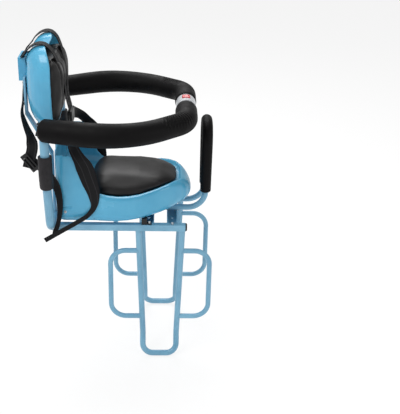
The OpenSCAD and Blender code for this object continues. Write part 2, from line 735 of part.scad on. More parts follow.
module shoulder_strap_right() shoulder_strap(-1);
module shoulder_strap_left() shoulder_strap(1);

// Ladder-lock plate with two slots, lying on the strap behind the backrest.
module adjuster(side) {
    color(black) mirrored(side) translate([-292, tail_y - web_lay - 2, 164]) rotate([0, 53, 0])
        difference() {
            cube([46, 4, 18], center = true);
            for (z = [-4, 4]) translate([0, 0, z]) cube([30, 10, 3.5], center = true);
        }
}
module adjuster_right() adjuster(-1);
module adjuster_left() adjuster(1);

// Centre buckle where the shoulder, waist and crotch straps meet.
module buckle() {
    color(black) translate([strap_x - 6, 0, buckle_top - buckle_h / 2]) rotate([0, 90, 0])
        linear_extrude(11) offset(6, $fn = 24) square([buckle_h - 12, 42], center = true);
}

module crotch_strap()
    color(black) web([[[strap_x - 0.4, 0, buckle_top - buckle_h - 0.4], Y], [[-203, 0, 190], Y],
        [[-196, 0, 150], Y], [[-186, 0, 112], Y], [[crotch_x, 0, seat_deck(crotch_x) + 1], Y]]);

// From the buckle over the front edge of a wing, where it widens into a pad, and down to the
// loose end beside the post.
module waist_strap(side) {
    z0 = buckle_top - buckle_h / 2;
    color(black) mirrored(side) web([
        [[strap_x, -28.4, z0], Z], [[-200, -60, z0 - 3], Z, 24], [[-190, -90, z0 - 8], [0.3, 0, 1], 24],
        [[-180, -109, wing_top + 10], [0.8, 0, 0.6], 24], [[-174, -wing_y - 1, wing_top - 8], X, 24],
        [[-168, -wing_y, 178], X, 34], [[-157, -wing_y, 135], X, 34], [[-150, -wing_y, 92], X, 26],
        [[-152, -wing_y - 1, 62], [1, 0, -0.4], 13], [[-164, -123, 46], [0.5, 0, -1], 11],
        [[-190, -130, 30], [0.4, 0, -1], 11], [[-222, -135, 12], [0.4, 0, -1], 11],
        [[-262, -140, -11], [0.4, 0, -1], 11]]);
}
module waist_strap_right() waist_strap(-1);
module waist_strap_left() waist_strap(1);

// From the loose end up along the rear edge of the wing to the strap behind the backrest.
module side_strap(side) {
    color(black) mirrored(side) web([
        [[-247, -132, -2], [0.6, 0, 1], 11], [[-238, -128, 10], [1, 0, 0.5], 11],
        [[-231, -125, 32], X, 10], [[-227, -124, 62], X, 10], [[-227, -123, 92], X, 12],
        [[-235, -120, 118], [1, 0, 0.4], 16], [[-250, -112, 138], [0.7, 0, 0.7], 20],
        [[-264, -100, 148], [0.7, 0, 0.7], 20], [[-275, tail_y + 2.3, 156], [0.7, 0, 0.7], 20],
        [[-290, tail_y + 2.3, 169], [0.7, 0, 0.7], 20]]);
}
module side_strap_right() side_strap(-1);
module side_strap_left() side_strap(1);

rail_right();
rail_left();
cap_right();
cap_left();
cross_bar_front();
cross_bar_rear();
footrest_right();
footrest_left();
hoop_front_right();
hoop_rear_right();
hoop_front_left();
hoop_rear_left();
handle_tube();
handle_grip();
back_cross();
post_right();
post_left();
stay_right();
stay_left();
sleeve_right();
sleeve_left();
spacer_right();
spacer_left();
rail_nuts();
stay_bolts();
seat_shell();
seat_cushion();
backrest_shell();
back_cushion();
strap_box();
arm_tube_right();
arm_pad_right();
arm_tube_left();
arm_pad_left();
latch_housing();
latch_tongue();
latch_button();
shoulder_strap_right();
shoulder_strap_left();
adjuster_right();
adjuster_left();
buckle();
crotch_strap();
waist_strap_right();
waist_strap_left();
side_strap_right();
side_strap_left();
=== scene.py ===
import math

import bmesh
import bpy
from mathutils import Matrix, Vector


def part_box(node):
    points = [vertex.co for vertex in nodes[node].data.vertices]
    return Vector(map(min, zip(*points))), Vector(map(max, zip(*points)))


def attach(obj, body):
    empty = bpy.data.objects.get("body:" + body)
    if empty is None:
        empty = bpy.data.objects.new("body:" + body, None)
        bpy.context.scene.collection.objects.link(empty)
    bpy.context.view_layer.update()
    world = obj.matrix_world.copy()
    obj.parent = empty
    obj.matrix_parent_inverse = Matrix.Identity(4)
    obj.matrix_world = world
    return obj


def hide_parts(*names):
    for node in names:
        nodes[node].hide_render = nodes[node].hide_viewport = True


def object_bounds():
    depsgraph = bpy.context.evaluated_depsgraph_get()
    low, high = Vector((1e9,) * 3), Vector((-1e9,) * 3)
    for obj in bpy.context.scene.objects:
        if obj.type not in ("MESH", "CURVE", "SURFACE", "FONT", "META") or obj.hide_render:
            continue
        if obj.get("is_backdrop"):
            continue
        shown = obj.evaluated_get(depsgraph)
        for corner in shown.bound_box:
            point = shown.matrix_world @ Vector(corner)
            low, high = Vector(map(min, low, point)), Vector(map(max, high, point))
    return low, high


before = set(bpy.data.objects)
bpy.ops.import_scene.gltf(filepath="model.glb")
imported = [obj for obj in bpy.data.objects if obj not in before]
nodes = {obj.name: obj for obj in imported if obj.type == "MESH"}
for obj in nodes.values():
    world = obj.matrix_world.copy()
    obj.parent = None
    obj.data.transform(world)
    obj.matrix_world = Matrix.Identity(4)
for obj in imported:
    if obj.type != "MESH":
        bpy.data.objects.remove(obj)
scene = bpy.context.scene
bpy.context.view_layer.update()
sides = (("right", -1), ("left", 1))
print("frame loaded:", len(nodes), "nodes")


def linearColor(hexCode):
    # sRGB hex to the linear values that a shader takes
    values = [int(hexCode[i:i + 2], 16) / 255 for i in (1, 3, 5)]
    return [v / 12.92 if v <= 0.04045 else ((v + 0.055) / 1.055) ** 2.4 for v in values] + [1.0]


def addNode(tree, kind, settings=None, links=None):
    node = tree.nodes.new("ShaderNode" + kind)
    for name, value in (settings or {}).items():
        if isinstance(name, int) or name in node.inputs:
            node.inputs[name].default_value = value
        else:
            setattr(node, name, value)
    for name, source in (links or {}).items():
        tree.links.new(source, node.inputs[name])
    return node


# Every finish starts here: a slow drift of colour and gloss, and a fine relief, sized in millimetres
def surfaceMaterial(look):
    material = bpy.data.materials.new(look["name"])
    material.use_nodes = True
    tree = material.node_tree
    shader = tree.nodes["Principled BSDF"]
    for socket, value in look["shader"].items():
        shader.inputs[socket].default_value = value
    place = addNode(tree, "TexCoord").outputs["Object"]
    drift = addNode(tree, "TexNoise", {"Scale": 1000 / look["driftMm"], "Detail": 4.0},
                    {"Vector": place})
    share = addNode(tree, "MapRange", {"From Min": 0.34, "From Max": 0.66},
                    {"Value": drift.outputs["Fac"]})
    tint = addNode(tree, "Mix", {"data_type": "RGBA", 6: linearColor(look["dark"]),
                                 7: linearColor(look["light"])}, {0: share.outputs["Result"]})
    gloss = addNode(tree, "MapRange", {"To Min": look["roughness"][0], "To Max": look["roughness"][1]},
                    {"Value": share.outputs["Result"]})
    relief = addNode(tree, "TexNoise", {"Scale": 1000 / look["grainMm"], "Detail": 2.0},
                     {"Vector": place})
    bump = addNode(tree, "Bump", {"Strength": look["grainStrength"], "Distance": look["grainDepthMm"] / 1000},
                   {"Height": relief.outputs["Fac"]})
    tree.links.new(tint.outputs[2], shader.inputs["Base Color"])
    tree.links.new(gloss.outputs["Result"], shader.inputs["Roughness"])
    tree.links.new(bump.outputs["Normal"], shader.inputs["Normal"])
    return material, tree, shader, place, tint, bump


# Polyester powder coat on the tubes: satin pale blue with a light orange peel
powderCoat = surfaceMaterial({
    "name": "powderCoatedSteel", "dark": "#6A9DB9", "light": "#79ACC6", "driftMm": 45,
    "roughness": (0.28, 0.37), "grainMm": 1.4, "grainStrength": 0.25, "grainDepthMm": 0.25,
    "shader": {"IOR": 1.5}})[0]

# Injection-moulded ABS: glossy sky blue, its skin nearly smooth, with faint flow unevenness
mouldedBlue = surfaceMaterial({
    "name": "mouldedBlueAbs", "dark": "#449CC2", "light": "#55A9CC", "driftMm": 90,
    "roughness": (0.22, 0.28), "grainMm": 1.2, "grainStrength": 0.05, "grainDepthMm": 0.1,
    "shader": {"IOR": 1.54}})[0]

# Black ABS of the caps, spacers, adjusters and buckle: fine spark-eroded grain
blackAbs = surfaceMaterial({
    "name": "mouldedBlackAbs", "dark": "#0E0E10", "light": "#161618", "driftMm": 14,
    "roughness": (0.34, 0.46), "grainMm": 0.7, "grainStrength": 0.3, "grainDepthMm": 0.15,
    "shader": {"IOR": 1.53, "Specular IOR Level": 0.35}})[0]

# Rubber sleeves at the posts' joints: dark warm grey, dull, slightly dusty
sleeveRubber = surfaceMaterial({
    "name": "sleeveRubber", "dark": "#1A181B", "light": "#252326", "driftMm": 9,
    "roughness": (0.46, 0.6), "grainMm": 0.9, "grainStrength": 0.3, "grainDepthMm": 0.2,
    "shader": {"IOR": 1.52, "Specular IOR Level": 0.22}})[0]

# Latch collar: silver-grey moulded plastic with a soft gloss
latchGrey = surfaceMaterial({
    "name": "silverGreyAbs", "dark": "#B4B7BB", "light": "#C6C9CC", "driftMm": 12,
    "roughness": (0.24, 0.34), "grainMm": 0.8, "grainStrength": 0.15, "grainDepthMm": 0.1,
    "shader": {"IOR": 1.54, "Metallic": 0.15}})[0]

# Release button: glossy red ABS
buttonRed = surfaceMaterial({
    "name": "redAbs", "dark": "#B3141C", "light": "#CC232B", "driftMm": 8,
    "roughness": (0.2, 0.3), "grainMm": 0.8, "grainStrength": 0.1, "grainDepthMm": 0.1,
    "shader": {"IOR": 1.54, "Coat Weight": 0.3}})[0]

# Zinc-plated bolts and nuts: bright grey metal with a fine cloudy plating
zincSteel = surfaceMaterial({
    "name": "zincPlatedSteel", "dark": "#A4A7AA", "light": "#C3C5C7", "driftMm": 3,
    "roughness": (0.26, 0.4), "grainMm": 0.6, "grainStrength": 0.2, "grainDepthMm": 0.08,
    "shader": {"Metallic": 1.0}})[0]

# Stamped steel blade of the latch: darker and brushed
bladeSteel = surfaceMaterial({
    "name": "stampedSteel", "dark": "#55585C", "light": "#6E7175", "driftMm": 6,
    "roughness": (0.34, 0.48), "grainMm": 0.5, "grainStrength": 0.3, "grainDepthMm": 0.08,
    "shader": {"Metallic": 1.0}})[0]


# Black PU leather of the cushions: pebbled cells of about 1.6 mm with fine creases between them
def leatherMaterial(look):
    material, tree, shader, place, tint, bump = surfaceMaterial(look)
    cells = addNode(tree, "TexVoronoi", {"feature": "DISTANCE_TO_EDGE", "Scale": 1000 / look["cellMm"]},
                    {"Vector": place})
    pebble = addNode(tree, "MapRange", {"interpolation_type": "SMOOTHSTEP", "From Max": 0.35},
                     {"Value": cells.outputs["Distance"]})
    grain = addNode(tree, "Bump", {"Strength": look["cellStrength"], "Distance": look["cellDepthMm"] / 1000},
                    {"Height": pebble.outputs["Result"], "Normal": bump.outputs["Normal"]})
    tree.links.new(grain.outputs["Normal"], shader.inputs["Normal"])
    return material


puLeather = leatherMaterial({
    "name": "blackPuLeather", "dark": "#090708", "light": "#0F0D0E", "driftMm": 30,
    "roughness": (0.42, 0.5), "grainMm": 7.0, "grainStrength": 0.06, "grainDepthMm": 0.8,
    "cellMm": 1.6, "cellStrength": 0.22, "cellDepthMm": 0.25,
    "shader": {"IOR": 1.5, "Specular IOR Level": 0.38}})


# EVA foam: dull black with an open, slightly crumbly skin; bendWave and bendShare draw its wrinkles
def foamMaterial(look):
    material, tree, shader, place, tint, bump = surfaceMaterial(look)
    wave = addNode(tree, "Attribute", {"attribute_name": "bendWave"})
    share = addNode(tree, "Attribute", {"attribute_name": "bendShare"})
    ripple = addNode(tree, "Math", {"operation": "SINE"}, {0: wave.outputs["Fac"]})
    height = addNode(tree, "Math", {"operation": "MULTIPLY"},
                     {0: ripple.outputs["Value"], 1: share.outputs["Fac"]})
    wrinkle = addNode(tree, "Bump", {"Strength": 1.0, "Distance": look["wrinkleMm"] / 1000},
                      {"Height": height.outputs["Value"], "Normal": bump.outputs["Normal"]})
    tree.links.new(wrinkle.outputs["Normal"], shader.inputs["Normal"])
    return material


evaFoam = foamMaterial({
    "name": "evaFoam", "dark": "#060506", "light": "#0B0A0B", "driftMm": 22,
    "roughness": (0.5, 0.64), "grainMm": 1.1, "grainStrength": 0.45, "grainDepthMm": 0.3,
    "wrinkleMm": 3.0, "shader": {"IOR": 1.45, "Specular IOR Level": 0.13}})


# Polyester webbing: ribs across it every 2.4 mm and two paler woven lines along it
def webbingMaterial(look):
    material, tree, shader, place, tint, bump = surfaceMaterial(look)
    along = addNode(tree, "Attribute", {"attribute_name": "along"})
    across = addNode(tree, "Attribute", {"attribute_name": "across"})
    turn = 2 * math.pi * 1000
    ribAngle = addNode(tree, "Math", {"operation": "MULTIPLY", 1: turn / look["ribMm"]},
                       {0: along.outputs["Fac"]})
    rib = addNode(tree, "Math", {"operation": "SINE"}, {0: ribAngle.outputs["Value"]})
    yarnAngle = addNode(tree, "Math", {"operation": "MULTIPLY", 1: turn / look["yarnMm"]},
                        {0: across.outputs["Fac"]})
    yarn = addNode(tree, "Math", {"operation": "SINE"}, {0: yarnAngle.outputs["Value"]})
    weave = addNode(tree, "Math", {"operation": "MULTIPLY_ADD", 2: 0.5},
                    {0: rib.outputs["Value"], 1: yarn.outputs["Value"]})
    cloth = addNode(tree, "Bump",
                    {"Strength": look["weaveStrength"], "Distance": look["weaveDepthMm"] / 1000},
                    {"Height": weave.outputs["Value"], "Normal": bump.outputs["Normal"]})
    fromMiddle = addNode(tree, "Math", {"operation": "ABSOLUTE"}, {0: across.outputs["Fac"]})
    onLine = addNode(tree, "Math", {"operation": "COMPARE", 1: look["lineMm"] / 1000,
                                      2: look["lineHalfMm"] / 1000},
                     {0: fromMiddle.outputs["Value"]})
    lined = addNode(tree, "Mix", {"data_type": "RGBA", 7: linearColor(look["line"])},
                    {0: onLine.outputs["Value"], 6: tint.outputs[2]})
    tree.links.new(lined.outputs[2], shader.inputs["Base Color"])
    tree.links.new(cloth.outputs["Normal"], shader.inputs["Normal"])
    return material


webbing = webbingMaterial({
    "name": "polyesterWebbing", "dark": "#0D0D0F", "light": "#141416", "driftMm": 8, "line": "#2A292C",
    "roughness": (0.58, 0.72), "grainMm": 0.8, "grainStrength": 0.3, "grainDepthMm": 0.2,
    "ribMm": 2.4, "yarnMm": 3.2, "weaveStrength": 0.7, "weaveDepthMm": 0.35, "lineMm": 7.5, "lineHalfMm": 0.8,
    "shader": {"IOR": 1.5, "Specular IOR Level": 0.2}})
print("materials ready")


# Shared steps for the pieces
def newPiece(name, work, material, body, replaced=()):
    mesh = bpy.data.meshes.new(name)
    work.to_mesh(mesh)
    work.free()
    for layer in ("custom_normal", "sharp_edge", "sharp_face"):
        if layer in mesh.attributes:
            mesh.attributes.remove(mesh.attributes[layer])
    mesh.materials.clear()
    mesh.materials.append(material)
    piece = bpy.data.objects.new(name, mesh)
    scene.collection.objects.link(piece)
    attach(piece, body)
    for node in replaced:
        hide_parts(node)
    return piece


def mergedCopy(node):
    # a CAD node comes as loose triangles, so its copy is merged first
    work = bmesh.new()
    work.from_mesh(nodes[node].data)
    bmesh.ops.remove_doubles(work, verts=work.verts, dist=2e-6)
    return work


def smoothFaces(piece, angle=None):
    for face in piece.data.polygons:
        face.use_smooth = True
    if angle is not None:
        piece.data.set_sharp_from_angle(angle=math.radians(angle))


def applyModifiers(piece):
    graph = bpy.context.evaluated_depsgraph_get()
    mesh = bpy.data.meshes.new_from_object(piece.evaluated_get(graph), depsgraph=graph)
    piece.modifiers.clear()
    old, name = piece.data, piece.data.name
    piece.data = mesh
    bpy.data.meshes.remove(old)
    mesh.name = name


def remeshed(piece, voxelMm, smoothing):
    # an even skin of small quads, so that moulded edges turn softly
    skin = piece.modifiers.new("skin", "REMESH")
    skin.mode = "VOXEL"
    skin.voxel_size = voxelMm / 1000
    skin.use_smooth_shade = True
    applyModifiers(piece)
    work = bmesh.new()
    work.from_mesh(piece.data)
    for step in range(smoothing):
        bmesh.ops.smooth_vert(work, verts=work.verts, factor=0.5, use_axis_x=True, use_axis_y=True,
                              use_axis_z=True)
    work.to_mesh(piece.data)
    work.free()
    smoothFaces(piece)


def edgedCopy(name, node, material, body, bevelMm, segments=2, angle=32):
    # a rigid piece with the small rounds that its edges have
    work = mergedCopy(node)
    bmesh.ops.dissolve_limit(work, angle_limit=math.radians(1.5), verts=work.verts, edges=work.edges)
    piece = newPiece(name, work, material, body, [node])
    rounding = piece.modifiers.new("rounds", "BEVEL")
    rounding.width = bevelMm / 1000
    rounding.segments = segments
    rounding.limit_method = "ANGLE"
    rounding.angle_limit = math.radians(angle)
    rounding.use_clamp_overlap = True
    smoothFaces(piece, 40)
    return piece


def dent(distance, width):
    # a soft bell, 1 in its middle
    return math.exp(-(distance / width) ** 2)


def ramp(value, limit=1):
    return max(0, min(limit, value))


# Frame: the bent tubes are the model's own, with their powder coat
for tube in ("footrest_right", "footrest_left", "hoop_front_right", "hoop_rear_right", "hoop_front_left",
             "hoop_rear_left", "handle_tube", "back_cross", "post_right", "post_left", "arm_tube_right",
             "arm_tube_left"):
    nodes[tube].data.materials.clear()
    nodes[tube].data.materials.append(powderCoat)
for fixing in ("rail_nuts", "stay_bolts"):
    nodes[fixing].data.materials.clear()
    nodes[fixing].data.materials.append(zincSteel)

for side, sign in sides:
    edgedCopy("railTube_" + side, "rail_" + side, powderCoat, "frame", 1.2, 3)
    edgedCopy("railCap_" + side, "cap_" + side, blackAbs, "frame", 0.8)
    edgedCopy("backStay_" + side, "stay_" + side, powderCoat, "frame", 0.9)
    edgedCopy("seatSpacer_" + side, "spacer_" + side, blackAbs, "frame", 0.8)
for end in ("front", "rear"):
    edgedCopy("crossBar_" + end, "cross_bar_" + end, powderCoat, "frame", 0.7)
print("frame dressed")

# Weld beads where hoops meet legs and where legs meet the rails
beads = {
    "thickMm": 1.3, "sides": 8, "steps": 44, "ripples": 22, "rippleMm": 0.35, "y": 103,
    "hoop": {"ends": ((52.4, -55), (46.2, -235)), "radiusMm": 6.2},  # x and z of the upper and lower end
    "leg": {"x": 51, "z": -1.2, "radiusMm": 7.2}}


def addBead(work, centre, axis, radius):
    # a small ring spun about the tube, with the ripples of a hand-held torch
    axis = Vector(axis).normalized()
    out = axis.orthogonal().normalized()
    place = Matrix.Translation(centre) @ Matrix((out, axis.cross(out), axis)).transposed().to_4x4()
    turn = Matrix.Rotation(math.radians(90), 4, "X")
    ring = bmesh.ops.create_circle(work, segments=beads["sides"], radius=beads["thickMm"] / 1000,
                                   matrix=Matrix.Translation((radius, 0, 0)) @ turn)["verts"]
    edges = list({e for v in ring for e in v.link_edges})
    before = set(work.verts) - set(ring)
    bmesh.ops.spin(work, geom=ring + edges, cent=(0, 0, 0), axis=(0, 0, 1), angle=2 * math.pi,
                   steps=beads["steps"], use_merge=True)
    added = [v for v in work.verts if v not in before]
    for v in added:
        angle = math.atan2(v.co.y, v.co.x)
        v.co *= 1 + beads["rippleMm"] / 1000 / radius * math.sin(beads["ripples"] * angle)
    bmesh.ops.transform(work, matrix=place, verts=added)


work = bmesh.new()
hoop, leg = beads["hoop"], beads["leg"]
for side, sign in sides:
    for end in (-1, 1):
        for x, z in hoop["ends"]:
            addBead(work, Vector((end * x, sign * beads["y"], z)) / 1000, (1, 0, 0), hoop["radiusMm"] / 1000)
        addBead(work, Vector((end * leg["x"], sign * beads["y"], leg["z"])) / 1000, (0, 0, 1),
                leg["radiusMm"] / 1000)
bmesh.ops.recalc_face_normals(work, faces=work.faces)
weldBeads = newPiece("weldBeads", work, powderCoat, "frame")
smoothFaces(weldBeads)

# Backrest moulding: its top corner turns over, fuller behind and lower in front
backTopLook = {"fromZ": 375, "overMm": 50, "reach": 1.1, "rearFromX": -250, "rearMm": 40,
               "leanMm": 14, "frontPower": 2.2, "dropMm": 4}


def leanBack(p):
    rise = ramp((p.z - backTopLook["fromZ"]) / backTopLook["overMm"], backTopLook["reach"])
    rear = ramp((backTopLook["rearFromX"] - p.x) / backTopLook["rearMm"])
    lean = backTopLook["leanMm"] * (rise ** backTopLook["frontPower"] * (1 - rear) + rise * rear)
    return Vector((p.x - lean, p.y, p.z - backTopLook["dropMm"] * rise))


# Seat moulding: its wings end just under the ring's padding; the groove over each screw is cut crisp again
wingLook = {"lowerFromZ": 176, "keep": 0.5, "grooveZ": 62, "grooveMm": 2, "grooveDeepMm": 2.2,
            "grooveX": (-225, -201), "outsideY": 112}


def lowWings(p):
    start, end = wingLook["grooveX"]
    onGroove = start < p.x < end and abs(p.y) > wingLook["outsideY"]
    cut = wingLook["grooveDeepMm"] * dent(p.z - wingLook["grooveZ"], wingLook["grooveMm"]) if onGroove else 0
    lowered = wingLook["lowerFromZ"] + (p.z - wingLook["lowerFromZ"]) * wingLook["keep"]
    return Vector((p.x, p.y - math.copysign(cut, p.y), min(p.z, lowered)))


# voxel in mm, easing steps and the form that each moulding takes
mouldings = {
    "seatMoulding": ("seat_shell", 2.0, 3, lowWings),
    "backMoulding": ("backrest_shell", 1.9, 4, leanBack)}
for name, (node, voxelMm, smoothing, formed) in mouldings.items():
    shell = newPiece(name, mergedCopy(node), mouldedBlue, "frame", [node])
    remeshed(shell, voxelMm, smoothing)
    for v in shell.data.vertices:
        v.co = formed(v.co * 1000) / 1000
    print(name, len(shell.data.polygons), "faces")
edgedCopy("strapGuide", "strap_box", mouldedBlue, "frame", 1.6, 3)

# Pan-head socket screws low on the wings; each step insets the top to a share of its width and raises it
wingScrew = {"x": -216, "z": 51, "floorMm": 116.9, "headMm": 3.4, "sides": 24, "riseMm": 1.5,
             "steps": ((0.72, 0.7), (0.5719, 0.1), (0.96, -1.1))}
work = bmesh.new()
for side, sign in sides:
    upright = Matrix.Rotation(math.radians(-90 * sign), 4, "X")
    seat = Matrix.Translation((wingScrew["x"], sign * wingScrew["floorMm"], wingScrew["z"])) @ upright
    disc = bmesh.ops.create_circle(work, cap_ends=True, segments=wingScrew["sides"],
                                   radius=wingScrew["headMm"], matrix=seat)
    top = list({f for v in disc["verts"] for f in v.link_faces})
    raised = bmesh.ops.extrude_face_region(work, geom=top)["geom"]
    bmesh.ops.delete(work, geom=top, context="FACES_ONLY")
    top = [g for g in raised if isinstance(g, bmesh.types.BMFace)]
    lifted = [g for g in raised if isinstance(g, bmesh.types.BMVert)]
    bmesh.ops.translate(work, verts=lifted, vec=(0, sign * wingScrew["riseMm"], 0))
    for share, rise in wingScrew["steps"]:
        bmesh.ops.inset_region(work, faces=top, thickness=0.001, use_even_offset=True)
        for v in {v for f in top for v in f.verts}:
            v.co.x = wingScrew["x"] + (v.co.x - wingScrew["x"]) * share
            v.co.z = wingScrew["z"] + (v.co.z - wingScrew["z"]) * share
            v.co.y += sign * rise
bmesh.ops.transform(work, matrix=Matrix.Scale(0.001, 4), verts=work.verts)
bmesh.ops.recalc_face_normals(work, faces=work.faces)
wingScrews = newPiece("wingScrews", work, zincSteel, "frame")
smoothFaces(wingScrews, 35)


# Cushions: a slightly smaller solid, swollen under pressure, then pressed in along its seams
def inflate(piece, pad):
    start = [v.co.copy() for v in piece.data.vertices]
    cover = piece.modifiers.new("cover", "CLOTH")
    cover.settings.quality = 5
    cover.settings.use_pressure = True
    cover.settings.uniform_pressure_force = pad["pressure"]
    cover.settings.effector_weights.gravity = 0
    cover.collision_settings.use_collision = False
    cover.collision_settings.use_self_collision = False
    cover.point_cache.frame_start = 1
    cover.point_cache.frame_end = pad["frames"]
    for step in range(1, pad["frames"] + 1):
        scene.frame_set(step)
    applyModifiers(piece)
    scene.frame_set(1)
    for v, p in zip(piece.data.vertices, start):
        move = v.co - p
        limit = pad["capMm"] / 1000 if move.dot(Vector(pad["open"])) > 0 else pad["backCapMm"] / 1000
        if move.length > limit:
            v.co = p + move.normalized() * limit


def makePad(name, node, pad):
    work = mergedCopy(node)
    piece = newPiece(name, work, puLeather, "frame", [node])
    remeshed(piece, pad["voxelMm"], 2)
    work = bmesh.new()
    work.from_mesh(piece.data)
    bmesh.ops.recalc_face_normals(work, faces=work.faces)
    for v in work.verts:
        v.co -= v.normal * pad["shrinkMm"] / 1000
    work.to_mesh(piece.data)
    work.free()
    inflate(piece, pad)
    work = bmesh.new()
    work.from_mesh(piece.data)
    loose = [v for v in work.verts if v.co.z > pad["easeAboveMm"] / 1000]
    for step in range(pad["easing"]):
        bmesh.ops.smooth_vert(work, verts=loose, factor=0.5, use_axis_x=True, use_axis_y=True,
                              use_axis_z=True)
    work.to_mesh(piece.data)
    work.free()
    finer = piece.modifiers.new("finer", "SUBSURF")
    finer.levels = finer.render_levels = 1
    applyModifiers(piece)
    smoothFaces(piece)
    return piece


def pressSeams(piece, depthAt):
    # each point sinks along its normal by what the seams near it ask for
    mesh = piece.data
    normals = [v.normal.copy() for v in mesh.vertices]
    for v, normal in zip(mesh.vertices, normals):
        depth = depthAt(v.co * 1000, normal)
        if depth:
            v.co -= normal * depth / 1000
    mesh.update()


seatPadLook = {
    "voxelMm": 5, "shrinkMm": 1.6, "easing": 26, "easeAboveMm": 90,
    "pressure": 4.0, "frames": 20, "capMm": 6.0, "backCapMm": 2.0, "open": (0, 0, 1), "fill": 0.7,
    "crownMm": 9.0, "crownX": -95, "crownLengthMm": 62, "crownHalfMm": 104, "upFromZ": 92, "upOverMm": 22,
    "noseDropMm": 9, "noseFromX": -50, "noseOverMm": 75,
    "seamMm": 0.5, "seamInMm": 10, "seamWidthMm": 3, "rearX": -165, "frontX": 41, "halfMm": 106,
    "taperFromX": -20, "taperMm": 60}
seatPad = makePad("seatPad", "seat_cushion", seatPadLook)


def seatSeams(p, normal):
    # one faint seam round the top panel, where it meets the side band
    if normal.z < 0.1:
        return 0
    taper = max(0, p.x - seatPadLook["taperFromX"]) / seatPadLook["taperMm"]
    halfWidth = seatPadLook["halfMm"] - taper ** 2 * seatPadLook["taperMm"]
    edge = min(p.x - seatPadLook["rearX"], seatPadLook["frontX"] - p.x, halfWidth - abs(p.y))
    return (seatPadLook["seamMm"] * dent(edge - seatPadLook["seamInMm"], seatPadLook["seamWidthMm"])
            * min(1, (normal.z - 0.1) / 0.3))


for v in seatPad.data.vertices:
    p = v.co * 1000
    up = ramp((p.z - seatPadLook["upFromZ"]) / seatPadLook["upOverMm"])
    crown = (seatPadLook["crownMm"] * dent(p.x - seatPadLook["crownX"], seatPadLook["crownLengthMm"])
             * max(0, 1 - (p.y / seatPadLook["crownHalfMm"]) ** 2))
    nose = seatPadLook["noseDropMm"] * ramp((p.x - seatPadLook["noseFromX"]) / seatPadLook["noseOverMm"])
    v.co.z += up * (crown - nose) / 1000
pressSeams(seatPad, seatSeams)

backPadLook = {
    "voxelMm": 5, "shrinkMm": 3.0, "easing": 4, "easeAboveMm": 0,
    "pressure": 4.0, "frames": 20, "capMm": 6.0, "backCapMm": 2.6, "open": (1, 0, 0), "fill": 0.75,
    "seamMm": 4.5, "seamWidthMm": 4.6, "lobes": (-62, -21, 21, 62), "spreadMm": 900,
    "seamTopZ": 396, "seamEndMm": 22, "middleZ": 325, "halfMm": (108, 99), "rimX": -236,
    "flatten": 0.55, "middleMm": 56, "hollowMm": 11, "hollowFromMm": 20,
    "lowerFromZ": 355, "lowerKeep": 0.66, "lowerFrontX": -262}
backPad = makePad("backPad", "back_cushion", backPadLook)


def backSeams(p, normal):
    # upright channels that part the cushion into lobes
    if normal.x < 0.1:
        return 0
    spread = 1 + (p.z - backPadLook["middleZ"]) / backPadLook["spreadMm"]
    near = max(dent(p.y - y * spread, backPadLook["seamWidthMm"]) for y in backPadLook["lobes"])
    return (near * backPadLook["seamMm"] * min(1, (normal.x - 0.1) / 0.35)
            * ramp((backPadLook["seamTopZ"] - p.z) / backPadLook["seamEndMm"]))


def crownBack(piece):
    # the sides stand out as bolsters, the middle lies back for the straps, and the top ends under the rim
    halfY, halfZ = backPadLook["halfMm"]
    for v in piece.data.vertices:
        p = v.co * 1000
        if p.x > backPadLook["rimX"]:
            out = min(1, ((abs(p.y) / halfY) ** 4 + (abs(p.z - backPadLook["middleZ"]) / halfZ) ** 4) ** 0.25)
            p.x -= (p.x - backPadLook["rimX"]) * backPadLook["flatten"] * out ** 3
            middle = dent((p.y / backPadLook["middleMm"]) ** 2, 1)
            depth = ramp((p.x - backPadLook["rimX"]) / backPadLook["hollowFromMm"])
            p.x -= backPadLook["hollowMm"] * middle * depth
        if p.z > backPadLook["lowerFromZ"] and p.x > backPadLook["lowerFrontX"]:
            p.z = backPadLook["lowerFromZ"] + (p.z - backPadLook["lowerFromZ"]) * backPadLook["lowerKeep"]
        v.co = leanBack(p) / 1000


crownBack(backPad)
pressSeams(backPad, backSeams)
print("cushions done")

